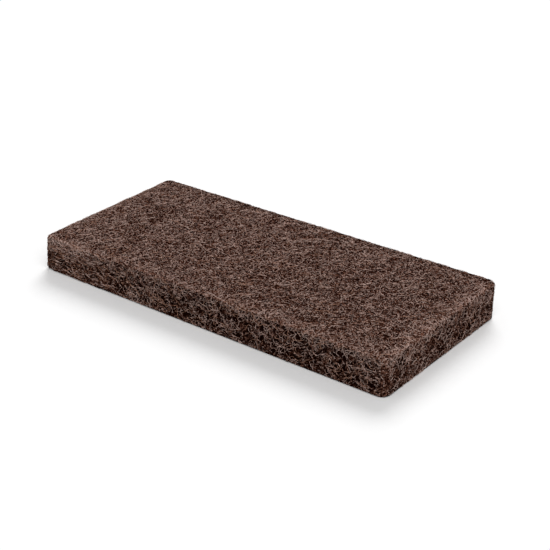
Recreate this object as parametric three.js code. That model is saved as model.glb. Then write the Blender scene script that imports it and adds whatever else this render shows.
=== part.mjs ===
// Scrub pad: one block of lofty, resin-bonded fibre web, cut to shape and lying flat on a broad face.
// Units are millimetres and +Z is up. The origin is the middle of the face that the pad rests on.
import * as THREE from 'three';

// Driving dimensions
const padLength = 254; // along X
const padWidth = 117; // along Y
const padThickness = 24; // along Z, from the resting face to the upper face
const cornerRadius = 6; // the four upright corners, seen from above
const rimRadius = 3; // where a broad face rolls over into the cut sides

// Facets in a quarter turn of the round stretches
const cornerFacets = 8;
const rimFacets = 6;

// Brown fibres, dulled by resin and abrasive grain
const fibreWeb = new THREE.MeshStandardMaterial({
  name: 'fibre_web',
  color: 0x59443c,
  roughness: 0.9,
  metalness: 0,
});

// A rectangle with round corners, centred on the origin
function roundedRectangle(length, width, radius) {
  const x = length / 2 - radius;
  const y = width / 2 - radius;
  const quarter = Math.PI / 2;
  const outline = new THREE.Shape();
  outline.absarc(x, y, radius, 0, quarter);
  outline.absarc(-x, y, radius, quarter, 2 * quarter);
  outline.absarc(-x, -y, radius, 2 * quarter, 3 * quarter);
  outline.absarc(x, -y, radius, 3 * quarter, 4 * quarter);
  return outline;
}

// The outline is that of the flat part of a broad face. The rim widens it to the pad's full length and width,
// and lifts the block by its own radius, so the block is set back down on its resting face.
function scrubPad() {
  const flatFace = roundedRectangle(
    padLength - 2 * rimRadius,
    padWidth - 2 * rimRadius,
    cornerRadius - rimRadius,
  );
  const block = new THREE.ExtrudeGeometry(flatFace, {
    depth: padThickness - 2 * rimRadius,
    bevelThickness: rimRadius,
    bevelSize: rimRadius,
    bevelSegments: rimFacets,
    curveSegments: cornerFacets / 2, // an arc takes two facets for each of these
  });
  const pad = new THREE.Mesh(block, fibreWeb);
  pad.name = 'scrub_pad';
  pad.position.z = rimRadius;
  return pad;
}

const part = new THREE.Group();
part.add(scrubPad());

export default part;
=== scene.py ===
# Scrub pad: one block of curled, resin-bonded fibre, lying flat on a broad face. Metres, +Z up.
import math

import bpy
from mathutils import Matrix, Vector


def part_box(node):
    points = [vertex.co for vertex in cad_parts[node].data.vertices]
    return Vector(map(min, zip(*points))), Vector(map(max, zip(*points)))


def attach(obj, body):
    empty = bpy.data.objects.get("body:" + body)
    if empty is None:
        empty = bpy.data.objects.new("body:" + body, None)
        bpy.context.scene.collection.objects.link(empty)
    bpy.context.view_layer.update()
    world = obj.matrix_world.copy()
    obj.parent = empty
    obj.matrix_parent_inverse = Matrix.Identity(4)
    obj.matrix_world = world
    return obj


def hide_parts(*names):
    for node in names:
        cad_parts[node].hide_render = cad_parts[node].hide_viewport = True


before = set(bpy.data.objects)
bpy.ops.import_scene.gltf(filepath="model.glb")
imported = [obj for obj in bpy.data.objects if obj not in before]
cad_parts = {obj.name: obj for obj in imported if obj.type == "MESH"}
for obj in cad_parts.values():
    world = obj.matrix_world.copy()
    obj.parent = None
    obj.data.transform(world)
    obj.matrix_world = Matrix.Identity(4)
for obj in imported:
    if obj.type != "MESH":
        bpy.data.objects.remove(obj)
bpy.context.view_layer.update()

mm = 0.001
padLow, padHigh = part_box("scrub_pad")
padSize = padHigh - padLow
print("frame loaded, pad size in mm:", [round(x / mm, 2) for x in padSize])


# Node trees as expressions

class Wire:
    # A node tree, and one socket in it. Expressions on wires add Math or Vector Math nodes.
    def __init__(self, tree, socket=None):
        self.tree = tree
        self.socket = socket

    def node(self, kind, settings=None, sockets=None):
        made = self.tree.nodes.new(kind)
        for key, value in (settings or {}).items():
            if key == "stops":
                self.setStops(made.color_ramp, value)
            else:
                setattr(made, key, value)
        usable = [s for s in made.inputs if s.enabled]
        for key, value in (sockets or {}).items():
            target = usable[key] if isinstance(key, int) else next(s for s in usable if s.name == key)
            if isinstance(value, Wire):
                self.tree.links.new(value.socket, target)
            else:
                target.default_value = value
        return Wire(self.tree, next(s for s in made.outputs if s.enabled))

    def setStops(self, ramp, stops):
        while len(ramp.elements) < len(stops):
            ramp.elements.new(1.0)
        for element, (place, shade) in zip(ramp.elements, stops):
            element.position = place
            element.color = shade

    def __getitem__(self, name):  # another output of the same node
        outputs = self.socket.node.outputs
        return Wire(self.tree, next(s for s in outputs if s.enabled and s.name == name))

    def maths(self, operation, a, b):
        wide = any(isinstance(x, Wire) and x.socket.type in ("VECTOR", "RGBA") for x in (a, b))
        if not wide:
            return self.node("ShaderNodeMath", {"operation": operation}, {0: a, 1: b})
        a, b = [(x, x, x) if isinstance(x, (int, float)) else x for x in (a, b)]
        return self.node("ShaderNodeVectorMath", {"operation": operation}, {0: a, 1: b})

    def __add__(self, other):
        return self.maths("ADD", self, other)

    def __radd__(self, other):
        return self.maths("ADD", other, self)

    def __sub__(self, other):
        return self.maths("SUBTRACT", self, other)

    def __rsub__(self, other):
        return self.maths("SUBTRACT", other, self)

    def __mul__(self, other):
        return self.maths("MULTIPLY", self, other)

    def __rmul__(self, other):
        return self.maths("MULTIPLY", other, self)

    def __truediv__(self, other):
        return self.maths("DIVIDE", self, other)

    def __rtruediv__(self, other):
        return self.maths("DIVIDE", other, self)

    def __pow__(self, other):
        return self.maths("POWER", self, other)

    def __gt__(self, other):
        return self.maths("GREATER_THAN", self, other)

    def __lt__(self, other):
        return self.maths("LESS_THAN", self, other)

    def __neg__(self):
        return self.maths("MULTIPLY", self, -1)

    def atLeast(self, other):
        return self.maths("MAXIMUM", self, other)

    def atMost(self, other):
        return self.maths("MINIMUM", self, other)

    def dot(self, other):
        return self.maths("DOT_PRODUCT", self, other)

    def cross(self, other):
        return self.maths("CROSS_PRODUCT", self, other)

    def length(self):
        return self.node("ShaderNodeVectorMath", {"operation": "LENGTH"}, {0: self})

    def unit(self):
        return self.node("ShaderNodeVectorMath", {"operation": "NORMALIZE"}, {0: self})

    def sine(self):
        return self.node("ShaderNodeMath", {"operation": "SINE"}, {0: self})

    def cosine(self):
        return self.node("ShaderNodeMath", {"operation": "COSINE"}, {0: self})

    def size(self):
        return self.node("ShaderNodeMath", {"operation": "ABSOLUTE"}, {0: self})

    def floor(self):
        return self.node("ShaderNodeMath", {"operation": "FLOOR"}, {0: self})

    def clamp(self):
        return self.node("ShaderNodeClamp", {}, {0: self})

    def ramp(self, low, high):  # smooth step from 0 at low to 1 at high
        return self.node("ShaderNodeMapRange", {"interpolation_type": "SMOOTHSTEP"},
                         {"Value": self, "From Min": low, "From Max": high})

    def between(self, a, b):  # a where this is 0, b where it is 1
        return a + (b - a) * self

    def mixed(self, a, b):  # colours a to b by this value
        return self.node("ShaderNodeMix", {"data_type": "RGBA"}, {"Factor": self, "A": a, "B": b})

    def split(self):  # outputs X, Y and Z
        return self.node("ShaderNodeSeparateXYZ", {}, {"Vector": self})

    def combine(self, x=0.0, y=0.0, z=0.0):
        return self.node("ShaderNodeCombineXYZ", {}, {"X": x, "Y": y, "Z": z})


noiseSwing = 4  # brings noise, less its mean, to about -1 to 1


def noiseAt(g, vector, size, detail=2.0):
    # Soft noise, from 0 to 1 about a mean of one half, with lumps of the given size
    return g.node("ShaderNodeTexNoise", {}, {"Vector": vector, "Scale": 1 / size, "Detail": detail})


def addToScene(name, data):
    thing = bpy.data.objects.new(name, data)
    bpy.context.scene.collection.objects.link(thing)
    return thing


# Geometry trees

def geometryTree(name, inputs):
    # An empty tree with named inputs, which come back as a dictionary of wires
    tree = bpy.data.node_groups.new(name, "GeometryNodeTree")
    tree.is_modifier = True
    tree.interface.new_socket("Geometry", in_out="OUTPUT", socket_type="NodeSocketGeometry")
    for label, kind in inputs.items():
        tree.interface.new_socket(label, in_out="INPUT", socket_type="NodeSocket" + kind)
    entry = tree.nodes.new("NodeGroupInput")
    return Wire(tree), {label: Wire(tree, entry.outputs[label]) for label in inputs}


def endTree(g, geometry, material):
    # Every tree ends the same way: real geometry, with its material
    real = g.node("GeometryNodeRealizeInstances", {}, {"Geometry": geometry})
    dressed = g.node("GeometryNodeSetMaterial", {}, {"Geometry": real, "Material": material})
    finish = g.tree.nodes.new("NodeGroupOutput")
    g.tree.links.new(dressed.socket, finish.inputs[0])


def triangleCount(piece):
    return sum(len(p.vertices) - 2 for p in piece.data.polygons)


def growPiece(name, tree, values):
    # Runs a tree once and keeps its result as a plain mesh
    piece = addToScene(name, bpy.data.meshes.new(name))
    growth = piece.modifiers.new(name, "NODES")
    growth.node_group = tree
    for item in tree.interface.items_tree:
        if item.in_out == "INPUT":
            growth[item.identifier] = values[item.name]
    evaluated = piece.evaluated_get(bpy.context.evaluated_depsgraph_get())
    grown = bpy.data.meshes.new_from_object(evaluated)
    piece.modifiers.remove(growth)
    empty = piece.data
    piece.data = grown
    bpy.data.meshes.remove(empty)
    grown.name = name
    print(name, "has", triangleCount(piece), "triangles")
    return piece


def here(g):
    return g.node("GeometryNodeInputPosition")


def setPosition(g, geometry, position):
    return g.node("GeometryNodeSetPosition", {}, {"Geometry": geometry, "Position": position})


def store(g, geometry, name, value, kind="FLOAT", domain="POINT"):
    return g.node("GeometryNodeStoreNamedAttribute", {"data_type": kind, "domain": domain},
                  {"Geometry": geometry, "Name": name, "Value": value})


def attribute(g, name, kind="FLOAT"):
    return g.node("GeometryNodeInputNamedAttribute", {"data_type": kind}, {"Name": name})


def onFace(g, value, kind="FLOAT"):
    # A face's own value, the same at all its corners
    return g.node("GeometryNodeFieldOnDomain", {"domain": "FACE", "data_type": kind}, {"Value": value})


def storeMap(g, geometry, u, v):
    # A map named OFBake on the face corners, for baking the colours
    return store(g, geometry, "OFBake", g.combine(u, v), "FLOAT2", "CORNER")


# The pad's skin

padShape = {
    "Size": padSize + Vector((1.6, 0.7, 0)) * mm,  # most fibres lie just inside this skin
    "Corner Radius": 6 * mm,  # upright corners at the +X end, seen from above
    "Cut Corner Radius": 4.5 * mm,  # the same at the -X end, which is cut crisper
    "Rim Radius": 3 * mm,  # where the top rolls over into a side
    "Foot Radius": 0.8 * mm,  # where a side meets the floor
    "Cut Foot Radius": 3 * mm,  # the same at the -X end
    "End Lean": 2.7 * mm,  # the cut at the -X end is a little off upright
    "End Pivot": 0.47,  # share of the height at which the lean changes nothing
    "End Skew": 2.3 * mm,  # the cut is also off square
}
padInputs = {"Size": "Vector", **{key: "Float" for key in padShape if key != "Size"}}
cutEnd = {"lean": (-0.4, -0.5), "foot": (-0.46, -0.5)}  # from none to all, in shares of the length
tiny = 1e-9


def padSkin(g, point, sizes):
    # The skin's nearest point, and the way out there. The skin lies one rim radius round a flat slab,
    # whose own outline has corners of the radius that is left.
    size = sizes["Size"]
    middle = size * (0, 0, 0.5)
    local = point - middle
    atCut = (local / size).dot((1, 0, 0)).ramp(*cutEnd["foot"])
    footRadius = atCut.between(sizes["Foot Radius"], sizes["Cut Foot Radius"])
    rimRadius = (local.dot((0, 0, 1)) > 0).between(footRadius, sizes["Rim Radius"])
    cornerRadius = (local.dot((1, 0, 0)) > 0).between(sizes["Cut Corner Radius"], sizes["Corner Radius"])
    reach = size * 0.5 - g.combine(cornerRadius, cornerRadius, rimRadius)
    inner = local.atLeast(-reach).atMost(reach)
    sideways = (local - inner) * (1, 1, 0)
    share = ((cornerRadius - rimRadius) / sideways.length().atLeast(tiny)).atMost(1)
    slab = inner + sideways * share
    outward = (local - slab).unit()
    return slab + outward * rimRadius + middle, outward


def leanEnd(g, geometry, sizes):
    # Slants the -X end: out at the floor and in at the top, and further out towards +Y
    spot = (here(g) / sizes["Size"]).split()
    slant = sizes["End Lean"] * (spot["Z"] - sizes["End Pivot"]) - sizes["End Skew"] * (spot["Y"] + 0.5)
    offset = g.combine(slant * spot["X"].ramp(*cutEnd["lean"]))
    return g.node("GeometryNodeSetPosition", {}, {"Geometry": geometry, "Offset": offset})


def padGrid(g, sizes, spacing):
    # A closed grid over the pad's outer box, with one corner more than cells to a side, rounded
    size = sizes["Size"]
    counts = (size / spacing).split()
    box = g.node("GeometryNodeMeshCube", {}, {
        "Size": size,
        "Vertices X": counts["X"] + 1.5,
        "Vertices Y": counts["Y"] + 1.5,
        "Vertices Z": counts["Z"] + 1.5,
    })
    return g.node("GeometryNodeTransform", {}, {"Geometry": box, "Translation": size * (0, 0, 0.5)})


# The fibres

stripShape = {
    "aspect": 6.0,  # length of a fibre's strip on the map, for a height of 1
    "endMargin": 0.025,  # share of its cell that stays clear at each end
    "sideMargin": 0.125,
    "capWidth": 0.02,
}
fibreShape = {
    "sides": 3,  # of a fibre's section
    "startGrid": 1.5 * mm,  # grid over the skin that the fibres start on
    "facingLimit": 0.68,  # cosine of the steepest slope that still counts as the chosen face
    "waveSize": 1.0 * mm,  # of a fibre's rise and fall
    "lumpSize": 1.2 * mm,  # of its thick and thin stretches
    "waveBand": (0.3, 0.7),  # noise from not sunk to fully sunk
    "waveShift": 3,  # so that fibres which cross don't rise together
    "radius": (0.4, 0.6),  # least and most, as shares of the thickness
    "endDip": 4,  # the higher, the later a fibre's ends dip
    "floorGap": 0.02 * mm,
}
combedEnd = (-55 * mm, -90 * mm)  # along X, from where the fibres on the long sides lie straighter


def stripMap(g, tubes, starts):
    # One strip of the map to a fibre, in rows. A tube's corners lie at 0, 1/3 and 2/3 round it,
    # its sides are quads, and its caps are triangles.
    count = g.node("GeometryNodeAttributeDomainSize", {"component": "POINTCLOUD"}, {"Geometry": starts})
    columns = ((count["Point Count"] / stripShape["aspect"]) ** 0.5).floor() + 1
    rows = (count["Point Count"] / columns).floor() + 1
    fibre = attribute(g, "fibre", "INT")
    row = ((fibre + 0.5) / columns).floor()
    column = fibre - row * columns
    along, around = attribute(g, "along"), attribute(g, "around")
    third, near = 1 / 3, 0.1
    cap = g.node("GeometryNodeInputMeshFaceNeighbors")["Vertex Count"] < 3.5
    lastSide = (onFace(g, around) - third).size() < near
    atSeam = around < near
    across = around + lastSide * atSeam * (1 - cap)
    bulge = cap * (1 - 3 * (around - third).size()) * (along - 0.5) * 2 * stripShape["capWidth"]
    u = stripShape["endMargin"] + along * (1 - 2 * stripShape["endMargin"]) + bulge
    v = 1 - stripShape["sideMargin"] - across * (1 - 2 * stripShape["sideMargin"])
    return storeMap(g, tubes, (column + u) / columns, (row + v) / rows)


def fibreStarts(g, sizes):
    # Points on the chosen face, and the same points with all that a fibre sets out with
    grid = padGrid(g, sizes, fibreShape["startGrid"])
    skin = setPosition(g, grid, padSkin(g, here(g), sizes)[0])
    face = g.node("GeometryNodeInputNormal").dot(sizes["Facing"])
    facing = face.atLeast(-face * sizes["Both Ways"]) > fibreShape["facingLimit"]
    patches = noiseAt(g, here(g), sizes["Patch Size"])
    share = (1 + (patches - 0.5) * sizes["Patchiness"] * noiseSwing).clamp()
    elsewhere = here(g).dot((1, 0, 0)).ramp(combedEnd[1], combedEnd[0])
    share = share * (1 - sizes["End Only"] * elsewhere)
    density = sizes["Cover"] * share / (sizes["Step"] * (sizes["Steps"] - 1))
    starts = g.node("GeometryNodeDistributePointsOnFaces", {"distribute_method": "RANDOM"}, {
        "Mesh": skin, "Selection": facing, "Density": density, "Seed": sizes["Seed"]})
    index = g.node("GeometryNodeInputIndex")
    drawn = [g.node("FunctionNodeRandomValue", {"data_type": "FLOAT"}, {
        "Min": 0.0, "Max": 1.0, "ID": index, "Seed": sizes["Seed"] + i}) for i in range(4)]
    place, outward = padSkin(g, here(g), sizes)
    around = drawn[0] * 2 * math.pi
    someWay = g.combine(around.cosine(), around.sine(), (drawn[1] - 0.5) * 2 * sizes["Upright"])
    heading = (someWay - outward * someWay.dot(outward)).unit()
    tone = (sizes["Tone"] + (drawn[2] - 0.5) * sizes["Tone Spread"]).clamp()
    walkers = setPosition(g, starts, place)
    walkers = store(g, walkers, "heading", heading, "FLOAT_VECTOR")
    walkers = store(g, walkers, "fibre", index, "INT")
    walkers = store(g, walkers, "tone", tone)
    walkers = store(g, walkers, "hue", drawn[3])
    walkers = store(g, walkers, "turn", drawn[1])
    return starts, walkers


def fibreWalk(g, walkers, sizes):
    # Each fibre walks over the skin in short steps, and every step leaves a point behind. Its bends come
    # from noise along a line, on which the fibres are far apart.
    farApart = 1000
    zoneIn = g.tree.nodes.new("GeometryNodeRepeatInput")
    zoneOut = g.tree.nodes.new("GeometryNodeRepeatOutput")
    zoneIn.pair_with_output(zoneOut)
    zoneOut.repeat_items.new("GEOMETRY", "Trail")
    g.tree.links.new(sizes["Steps"].socket, zoneIn.inputs["Iterations"])
    g.tree.links.new(walkers.socket, zoneIn.inputs["Geometry"])
    count = Wire(g.tree, zoneIn.outputs["Iteration"])
    moving = Wire(g.tree, zoneIn.outputs["Geometry"])
    trail = Wire(g.tree, zoneIn.outputs["Trail"])
    heading = attribute(g, "heading", "FLOAT_VECTOR")
    place, outward = padSkin(g, here(g) + heading * sizes["Step"], sizes)
    along = count * sizes["Step"] / sizes["Curl Length"] + attribute(g, "turn") * farApart
    wander = g.node("ShaderNodeTexNoise", {"noise_dimensions": "1D"},
                    {"W": along, "Scale": 1.0, "Detail": 1.0})
    bend = (wander - 0.5) * noiseSwing * sizes["Curl"]
    bent = heading * bend.cosine() + outward.cross(heading) * bend.sine()
    level = (bent - outward * bent.dot(outward)).unit()
    moved = store(g, moving, "step", count)
    moved = store(g, moved, "next", level, "FLOAT_VECTOR")
    moved = store(g, moved, "outward", outward, "FLOAT_VECTOR")
    moved = setPosition(g, moved, place)
    moved = store(g, moved, "heading", attribute(g, "next", "FLOAT_VECTOR"), "FLOAT_VECTOR")
    joined = g.node("GeometryNodeJoinGeometry")
    g.tree.links.new(trail.socket, joined.socket.node.inputs[0])
    g.tree.links.new(moved.socket, joined.socket.node.inputs[0])
    g.tree.links.new(moved.socket, zoneOut.inputs["Geometry"])
    g.tree.links.new(joined.socket, zoneOut.inputs["Trail"])
    return Wire(g.tree, zoneOut.outputs["Trail"])


def fibreStrands(g, trail, sizes):
    # The points of each fibre become a curve, sunk to its own depth, with both ends tucked in
    strands = g.node("GeometryNodePointsToCurves", {}, {
        "Points": trail,
        "Curve Group ID": attribute(g, "fibre", "INT"),
        "Weight": attribute(g, "step")})
    span = g.node("GeometryNodeSplineParameter")["Factor"]
    shifted = here(g) + attribute(g, "hue") * fibreShape["waveShift"]
    wave = noiseAt(g, shifted, fibreShape["waveSize"], 1.0)
    low, high = fibreShape["waveBand"]
    strands = store(g, strands, "sunk", ((wave - low) * (1 / (high - low))).clamp())
    ends = ((span - 0.5) * 2) ** fibreShape["endDip"]
    radius = sizes["Thickness"] * fibreShape["radius"][1]
    depth = radius + attribute(g, "sunk") * sizes["Depth"] + ends * sizes["Dive"]
    strands = setPosition(g, strands, here(g) - attribute(g, "outward", "FLOAT_VECTOR") * depth)
    return store(g, strands, "along", span)


def fibreTubes(g, strands, sizes):
    # Lumpy tubes round the curves, with nothing below the floor
    lumps = noiseAt(g, here(g), fibreShape["lumpSize"], 1.0)
    girth = sizes["Thickness"] * attribute(g, "turn").between(*fibreShape["radius"]) * (0.5 + lumps)
    section = g.node("GeometryNodeCurvePrimitiveCircle", {"mode": "RADIUS"},
                     {"Resolution": fibreShape["sides"], "Radius": 1.0})
    section = store(g, section, "around", g.node("GeometryNodeSplineParameter")["Factor"])
    tubes = g.node("GeometryNodeCurveToMesh", {}, {
        "Curve": strands, "Profile Curve": section, "Scale": girth, "Fill Caps": True})
    return setPosition(g, tubes, here(g).atLeast((-1, -1, fibreShape["floorGap"])))


def fibreTree():
    g, sizes = geometryTree("curled_fibres", {
        **padInputs,
        "Facing": "Vector",  # the face that the fibres start on
        "Upright": "Float",  # how steeply they may start off on a side
        "Both Ways": "Float",  # 1 takes the opposite face too
        "End Only": "Float",  # 1 keeps to the -X end
        "Cover": "Float",  # metres of fibre to a square metre
        "Patchiness": "Float",
        "Patch Size": "Float",
        "Step": "Float",  # length of one straight bit of a fibre
        "Steps": "Int",
        "Curl": "Float",  # most turn in one step, in radians
        "Curl Length": "Float",
        "Depth": "Float",  # how far below the skin a fibre may lie
        "Dive": "Float",  # how much further its ends sink in
        "Thickness": "Float",
        "Tone": "Float",  # 0 dark to 1 pale
        "Tone Spread": "Float",
        "Seed": "Int",
        "Material": "Material",
    })
    starts, walkers = fibreStarts(g, sizes)
    strands = fibreStrands(g, fibreWalk(g, walkers, sizes), sizes)
    tubes = stripMap(g, fibreTubes(g, strands, sizes), starts)
    for spent in ("heading", "next", "outward", "step", "turn", "fibre", "along", "around"):
        tubes = g.node("GeometryNodeRemoveAttribute", {}, {"Geometry": tubes, "Name": spent})
    endTree(g, leanEnd(g, tubes, sizes), sizes["Material"])
    return g.tree


# The core

pitShape = {
    "noise": (0.42, 0.58),  # from level ground to a full pit
    "lessEverywhere": 0.03,
    "moreOnLongSides": 0.09,
    "openPart": (-105 * mm, -65 * mm),  # along X, from where the long sides are more open
    "clearOfEdges": (0.75, 0.98),  # 1 is flat ground
    "depthOnTop": 0.4,  # as a share of the depth on a side
}


def boxMap(g, grid, sizes):
    # The map's rows from the bottom: underside, top, the two long sides, and both short sides in one row
    way = onFace(g, g.node("GeometryNodeInputNormal"), "FLOAT_VECTOR").split()
    size = sizes["Size"].split()
    spot = here(g).split()
    x, y, z = spot["X"] + size["X"] / 2, spot["Y"] + size["Y"] / 2, spot["Z"]
    level, long, short = [way[axis].size() > 0.5 for axis in ("Z", "Y", "X")]
    width, height = size["X"], size["Y"] * 2 + size["Z"] * 3
    u = (level + long) * x + short * (y + (way["X"] > 0) * width / 2)
    v = level * (y + (way["Z"] > 0) * size["Y"])
    v = v + long * (z + size["Y"] * 2 + (way["Y"] > 0) * size["Z"])
    v = v + short * (z + size["Y"] * 2 + size["Z"] * 2)
    return storeMap(g, grid, u / width, v / height)


def coreTree():
    g, sizes = geometryTree("matted_core", {
        **padInputs,
        "Spacing": "Float",
        "Inset": "Float",  # least depth below the skin
        "Pits": "Float",  # further depth of the hollows
        "Pit Size": "Float",
        "Material": "Material",
    })
    grid = padGrid(g, sizes, sizes["Spacing"])
    place, outward = padSkin(g, here(g), sizes)
    lumps = noiseAt(g, place, sizes["Pit Size"])
    squares = outward * outward
    flat = (squares * squares).dot((1, 1, 1))
    onSide = 1 - outward.dot((0, 0, 1)).size()
    openness = outward.dot((0, 1, 0)).size() * place.dot((1, 0, 0)).ramp(*pitShape["openPart"])
    pits = lumps - pitShape["lessEverywhere"] + openness * pitShape["moreOnLongSides"]
    sunk = pits.ramp(*pitShape["noise"]) * flat.ramp(*pitShape["clearOfEdges"])
    sunk = sunk * (pitShape["depthOnTop"] + (1 - pitShape["depthOnTop"]) * onSide)
    core = store(g, boxMap(g, grid, sizes), "sunk", sunk)
    depth = sizes["Inset"] + attribute(g, "sunk") * sizes["Pits"]
    core = setPosition(g, core, place - outward * depth)
    core = g.node("GeometryNodeSetShadeSmooth", {}, {"Geometry": core, "Shade Smooth": True})
    endTree(g, leanEnd(g, core, sizes), sizes["Material"])
    return g.tree


# Materials

def newMaterial(name):
    material = bpy.data.materials.new(name)
    material.use_nodes = True
    material.node_tree.nodes.clear()
    return material, Wire(material.node_tree)


def endMaterial(w, surface):
    output = w.tree.nodes.new("ShaderNodeOutputMaterial")
    w.tree.links.new(surface.socket, output.inputs["Surface"])


def objectPlace(w):
    return w.node("ShaderNodeTexCoord")["Object"]


def meshValue(w, name):
    return w.node("ShaderNodeAttribute", {"attribute_name": name})["Fac"]


fibreLook = {
    # near-black painted shade for the core, seen between the fibres
    "void": (0.010, 0.001, 0.0004, 1),
    "dark": (0.014, 0.002, 0.0006, 1),
    "middle": (0.232, 0.102, 0.066, 1),
    "pale": (0.670, 0.487, 0.425, 1),
    "red": (0.300, 0.110, 0.062, 1),
    "orange": (0.480, 0.240, 0.140, 1),
    "grain": (0.500, 0.400, 0.350, 1),
    "redHues": (0.65, 0.95),  # from none to all, by a fibre's own hue
    "redStrength": 0.3,
    "orangeHues": (0.94, 0.96),
    "orangeStrength": 0.6,
    "roughness": 0.55,
    "roughnessSpread": 0.2,
    "gloss": 0.01,
    "lift": 0.35,  # added to every fibre's tone
    "speckSize": 0.6 * mm,  # light and dark stretches of a fibre
    "speckStrength": (10, 2),  # on the darkest and on the palest fibres
    "streakSize": 0.8 * mm,  # the same at the combed end, drawn out along X
    "streakStretch": (0.12, 1, 1),
    "gapSize": 1.3 * mm,  # painted shade in the small gaps of the net
    "gapEdge": (0.62, 0.32),
    "gapStretch": (0.15, 1, 1),  # at the combed end
    "gapStrength": (1.3, 0.8),  # on the darkest and on the palest fibres
    "blotchSize": 9 * mm,
    "blotchStrength": 0.4,
    "sunkStrength": 0.9,  # painted shade: how much darker a fibre is where it lies deep
    "sunkMiddle": 0.3,  # depth at which it keeps its tone
    "grainSize": 1.1 * mm,  # pale abrasive grains
    "grainEdge": (0.72, 0.78),
    "grainCover": 0.7,
    "bumpSize": 0.25 * mm,
    "bumpHeight": 0.05 * mm,
    "bumpStrength": 0.4,
    "longSide": (56 * mm, 58 * mm),  # across Y
    "redderSide": 0.14,  # long sides are a little redder, and more so near the floor
    "redderFoot": 0.12,
    "footHeight": (16 * mm, 3 * mm),
}
paintedLightLook = {  # painted light and shade by place; each pair goes from no effect to all of it, and the rest are changes of tone
    "rimBand": (13 * mm, 1 * mm),  # in from the top's edge
    "sideBand": (3 * mm, 0),  # in from the outline
    "cutBand": (-60 * mm, -110 * mm),  # along X
    "rightBand": (10 * mm, 70 * mm),
    "frontBand": (118 * mm, 124 * mm),
    "backBand": (44 * mm, 56 * mm),  # along Y
    "footBand": (9 * mm, 2 * mm),  # up from the floor
    "rim": 0.25,
    "rimOnSide": 0.1,
    "rimAtCut": 0.2,
    "rimAtBack": 0.42,
    "cutSide": 0.09,
    "rightSide": 0.1,
    "frontFoot": 0.15,
    "frontRim": 0.08,
    "frontSide": 0.07,
    "frontAsCut": 0.2,  # share of the cut end's changes that the +X end has too
}


def fibreShade(w, tone, hue):
    # Brown from dark to pale by tone, with the odd reddish or orange fibre by hue
    look = fibreLook
    stops = [(0.0, look["dark"]), (0.5, look["middle"]), (1.0, look["pale"])]
    brown = w.node("ShaderNodeValToRGB", {"stops": stops}, {0: tone})
    redShare = hue.ramp(*look["redHues"]) * look["redStrength"]
    orangeShare = hue.ramp(*look["orangeHues"]) * tone * look["orangeStrength"]
    return orangeShare.mixed(redShare.mixed(brown, look["red"]), look["orange"])


def paintedGapShade(w, place):
    # Painted shade: 1 in the small dark gaps of the net
    cells = w.node("ShaderNodeTexVoronoi", {"feature": "F1"},
                   {"Vector": place, "Scale": 1 / fibreLook["gapSize"]})
    return cells["Distance"].ramp(*fibreLook["gapEdge"])


def paintedLightAndShade(w, place):
    # Painted light and shade in the fibres' tone: paler fibres round the top's rim, most of all on the
    # sides and at the -X end, painted light where the top rolls over, a painted shade on the back rim,
    # and small changes from one part of a side to another
    look = paintedLightLook
    spot = place.split()
    inward = (padSize.x / 2 - spot["X"].size()).atMost(padSize.y / 2 - spot["Y"].size())
    rim = inward.atLeast(padSize.z - spot["Z"]).ramp(*look["rimBand"])
    onSide = inward.ramp(*look["sideBand"])
    front = spot["X"].ramp(*look["frontBand"])
    right = spot["X"].ramp(*look["rightBand"])
    cut = spot["X"].ramp(*look["cutBand"]).atLeast(front * look["frontAsCut"])
    back = spot["Y"].ramp(*look["backBand"])
    foot = spot["Z"].ramp(*look["footBand"])
    rimOnSide = look["rimOnSide"] + look["rimAtCut"] * cut
    shade = rim * (look["rim"] + onSide * rimOnSide - look["rimAtBack"] * back)
    shade = shade + cut * onSide * look["cutSide"]
    atFront = foot * look["frontFoot"] - rim * look["frontRim"] - look["frontSide"]
    return shade + onSide * (right * look["rightSide"] + front * atFront)


def fibreMaterial():
    look = fibreLook
    material, w = newMaterial("bonded_fibre")
    place = objectPlace(w)
    spot = place.split()
    tone, sunk = meshValue(w, "tone"), meshValue(w, "sunk")
    longSide = spot["Y"].size().ramp(*look["longSide"])
    redder = look["redderSide"] + look["redderFoot"] * spot["Z"].ramp(*look["footHeight"])
    hue = meshValue(w, "hue") + longSide * redder
    combed = spot["X"].ramp(*combedEnd) * longSide
    specks = noiseAt(w, place, look["speckSize"], 1.0)
    streaks = noiseAt(w, place * look["streakStretch"], look["streakSize"], 1.0)
    gaps = combed.between(paintedGapShade(w, place), paintedGapShade(w, place * look["gapStretch"]))
    blotch = noiseAt(w, place, look["blotchSize"])
    uneven = (combed.between(specks, streaks) - 0.5) * tone.between(*look["speckStrength"])
    uneven = uneven + (blotch - 0.5) * look["blotchStrength"]
    # Painted shade: fibres lying deep and fibres in the gaps of the net are made darker; painted light
    # round the rim follows
    darker = (sunk - look["sunkMiddle"]) * look["sunkStrength"]
    darker = darker + gaps * tone.between(*look["gapStrength"])
    shade = fibreShade(w, (tone + look["lift"] + uneven - darker + paintedLightAndShade(w, place)).clamp(), hue)
    grains = noiseAt(w, place, look["grainSize"], 1.0).ramp(*look["grainEdge"]) * look["grainCover"]
    fine = noiseAt(w, place, look["bumpSize"])
    bump = w.node("ShaderNodeBump", {}, {
        "Height": fine, "Strength": look["bumpStrength"], "Distance": look["bumpHeight"]})
    surface = w.node("ShaderNodeBsdfPrincipled", {}, {
        "Base Color": grains.mixed(shade, look["grain"]),
        "Roughness": look["roughness"] + (fine - 0.5) * look["roughnessSpread"],
        "Normal": bump,
        "Specular IOR Level": look["gloss"]})
    endMaterial(w, surface)
    return material


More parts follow.
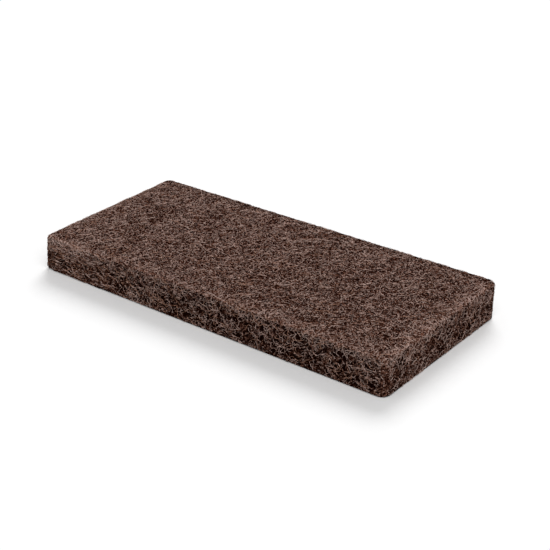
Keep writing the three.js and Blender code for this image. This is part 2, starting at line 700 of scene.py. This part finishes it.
coreLook = {
    "layers": 5,  # of matted strands, drawn one over the other
    "layerShift": Vector((0.13, 0.07, 0.19)),  # so that no two layers are alike
    "curl": 1.6 * mm,  # size of a strand's loops
    "width": 0.06,  # of a strand, as a share of the noise that draws it
    "strandEdge": (0.1, 0.5),
    "toneSize": 1.2 * mm,
    "toneBand": (0.4, 0.7),
    "palest": 0.6,
    "gapStrength": 0.5,
    "pitStrength": 0.9,
    "roughness": 0.8,
    "gloss": 0.0,
    "bumpHeight": 0.4 * mm,
    "bumpStrength": 0.9,
}


def coreMaterial():
    look = coreLook
    material, w = newMaterial("matted_web")
    place = objectPlace(w)
    # The core's ground is near-black painted shade, seen between the fibres
    colour = w.node("ShaderNodeRGB")
    colour.socket.default_value = fibreLook["void"]
    height = 0.0
    # Painted light round the rim and painted shade in the gaps of the net
    rimLightGapShade = paintedLightAndShade(w, place) - paintedGapShade(w, place) * look["gapStrength"]
    for i in range(look["layers"]):
        shifted = place + tuple(look["layerShift"] * i)
        loops = noiseAt(w, shifted, look["curl"], 1.0)
        strand = (1 - (loops - 0.5).size() / look["width"]).clamp()
        tone = noiseAt(w, shifted, look["toneSize"], 0.0).ramp(*look["toneBand"]) * look["palest"]
        shade = fibreShade(w, (tone + rimLightGapShade).clamp(), loops)
        colour = strand.ramp(*look["strandEdge"]).mixed(colour, shade)
        height = (strand * (0.6 + 0.1 * i)).atLeast(height)  # later layers lie higher
    # Painted shade: the pits darken towards the near-black ground
    colour = (meshValue(w, "sunk") * look["pitStrength"]).mixed(colour, fibreLook["void"])
    bump = w.node("ShaderNodeBump", {}, {
        "Height": height, "Strength": look["bumpStrength"], "Distance": look["bumpHeight"]})
    surface = w.node("ShaderNodeBsdfPrincipled", {}, {
        "Base Color": colour,
        "Roughness": look["roughness"],
        "Normal": bump,
        "Specular IOR Level": look["gloss"]})
    endMaterial(w, surface)
    return material


# Pieces

bondedFibre = fibreMaterial()
mattedWeb = coreMaterial()
print("materials are made")

coreSizes = {
    **padShape,
    "Spacing": 1.2 * mm,
    "Inset": 0.5 * mm,
    "Pits": 2.6 * mm,
    "Pit Size": 3.0 * mm,
    "Material": mattedWeb,
}
core = growPiece("matted_core", coreTree(), coreSizes)

anyFibres = {
    **padShape,
    "Both Ways": 0.0,
    "End Only": 0.0,
    "Upright": 0.6,
    "Patchiness": 0.4,
    "Patch Size": 14 * mm,
    "Step": 0.9 * mm,
    "Steps": 12,
    "Curl": 0.7,
    "Curl Length": 3.0 * mm,
    "Depth": 0.8 * mm,
    "Dive": 0.8 * mm,
    "Thickness": 0.28 * mm,
    "Tone": 0.5,
    "Tone Spread": 1.3,
    "Material": bondedFibre,
}
topFibres = {"Facing": (0, 0, 1), "Step": 1.2 * mm, "Steps": 9, "Curl": 0.9}
longSides = {"Facing": (0, 1, 0), "Both Ways": 1.0, "Steps": 10}
# Deeper layers have darker tones and the loose top layer a paler one, as painted shade and light by
# depth
fibreLayers = {
    "top_fibres_lower": {
        **topFibres, "Seed": 11, "Cover": 1370, "Depth": 1.4 * mm, "Thickness": 0.23 * mm,
        "Tone": 0.15, "Tone Spread": 0.5},
    "top_fibres_upper": {
        **topFibres, "Seed": 12, "Cover": 1370, "Depth": 0.6 * mm, "Thickness": 0.22 * mm,
        "Tone": 0.45},
    "top_fibres_loose": {
        **topFibres, "Seed": 16, "Cover": 880, "Depth": 0.1 * mm, "Thickness": 0.21 * mm,
        "Tone": 0.87, "Tone Spread": 0.8},
    "bottom_fibres": {
        "Facing": (0, 0, -1), "Seed": 13, "Cover": 600},
    "long_side_fibres": {
        **longSides, "Seed": 14, "Cover": 1650, "Patchiness": 0.7, "Depth": 1.9 * mm,
        "Tone": 0.88, "Tone Spread": 1.2},
    "short_side_fibres": {
        "Facing": (1, 0, 0), "Both Ways": 1.0, "Seed": 15, "Cover": 1600,
        "Tone": 0.6},
    "combed_side_fibres": {
        **longSides, "End Only": 1.0, "Seed": 17, "Cover": 1600, "Upright": 0.15, "Curl": 0.4,
        "Depth": 0.3 * mm, "Thickness": 0.30 * mm,
        "Tone": 0.5, "Tone Spread": 0.6},
}
curledFibres = fibreTree()
layers = [growPiece(name, curledFibres, {**anyFibres, **change}) for name, change in fibreLayers.items()]
pieces = [core] + layers
print("total triangles", sum(triangleCount(piece) for piece in pieces))

for piece in pieces:
    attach(piece, "root")
    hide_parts("scrub_pad")


# Floor, light and camera

stageLook = {
    "floorWidth": 20.0,
    "floorColour": 1.0,  # as the camera sees it
    "floorBounce": 0.5,  # what it gives back to the pad
    "ambient": 0.3,
}
# A lamp's strength is the brightness of a level white surface under it alone. Angles are in degrees.
lampLook = {
    "key": {"strength": 0.36, "height": 43.0, "azimuth": 208.0, "spread": 32.0},
    "fill": {"strength": 0.38, "height": 50.0, "azimuth": 48.0, "spread": 60.0},
}


def cameraRays(w):
    # 1 for what is seen directly, in a mirror or through glass
    path = w.node("ShaderNodeLightPath")
    return path["Is Camera Ray"].atLeast(path["Is Glossy Ray"]).atLeast(path["Is Transmission Ray"])


def paleFloor():
    half = stageLook["floorWidth"] / 2
    mesh = bpy.data.meshes.new("floor")
    corners = [(-half, -half, 0), (half, -half, 0), (half, half, 0), (-half, half, 0)]
    mesh.from_pydata(corners, [], [(0, 1, 2, 3)])
    material, w = newMaterial("pale_floor")
    seen = [stageLook["floorColour"]] * 3 + [1]
    given = [stageLook["floorBounce"]] * 3 + [1]
    surface = w.node("ShaderNodeBsdfDiffuse", {}, {"Color": cameraRays(w).mixed(given, seen)})
    endMaterial(w, surface)
    mesh.materials.append(material)
    addToScene("floor", mesh)


def wayFrom(azimuth, height):
    # Unit vector towards a place seen at this azimuth and height. Azimuth 0 is -Y and 90 is +X.
    a, e = math.radians(azimuth), math.radians(height)
    return Vector((math.sin(a) * math.cos(e), -math.cos(a) * math.cos(e), math.sin(e)))


def softLamp(name, look):
    lamp = bpy.data.lights.new(name, "SUN")
    lamp.energy = math.pi * look["strength"] / math.sin(math.radians(look["height"]))
    lamp.angle = math.radians(look["spread"])
    towards = wayFrom(look["azimuth"], look["height"])
    addToScene(name, lamp).rotation_euler = towards.to_track_quat("Z", "Y").to_euler()


def whiteWorld():
    world = bpy.data.worlds.new("studio")
    bpy.context.scene.world = world
    world.use_nodes = True
    world.node_tree.nodes.clear()
    w = Wire(world.node_tree)
    ambient = stageLook["ambient"]
    strength = ambient + cameraRays(w) * (1 - ambient)
    light = w.node("ShaderNodeBackground", {}, {"Color": (1, 1, 1, 1), "Strength": strength})
    output = world.node_tree.nodes.new("ShaderNodeOutputWorld")
    world.node_tree.links.new(light.socket, output.inputs["Surface"])


photoView = {
    "azimuth": 37.895,  # degrees
    "elevation": 26.316,
    "aim": Vector((-7.926, 22.534, 0)) * mm,  # the point in the middle of the picture
    "distance": 794.434 * mm,
    "lens": 83.514,  # in millimetres, for a sensor of 36 mm
}


def photoCamera():
    data = bpy.data.cameras.new("photo_camera")
    data.lens = photoView["lens"]
    camera = addToScene("photo_camera", data)
    back = wayFrom(photoView["azimuth"], photoView["elevation"])
    camera.location = photoView["aim"] + back * photoView["distance"]
    camera.rotation_euler = back.to_track_quat("Z", "Y").to_euler()
    bpy.context.scene.camera = camera


paleFloor()
for name, look in lampLook.items():
    softLamp(name, look)
whiteWorld()
photoCamera()
bpy.context.scene.view_settings.view_transform = "Standard"
bpy.context.scene.cycles.denoising_prefilter = "FAST"  # keeps single fibres sharp
print("floor, lamps and camera are in place")
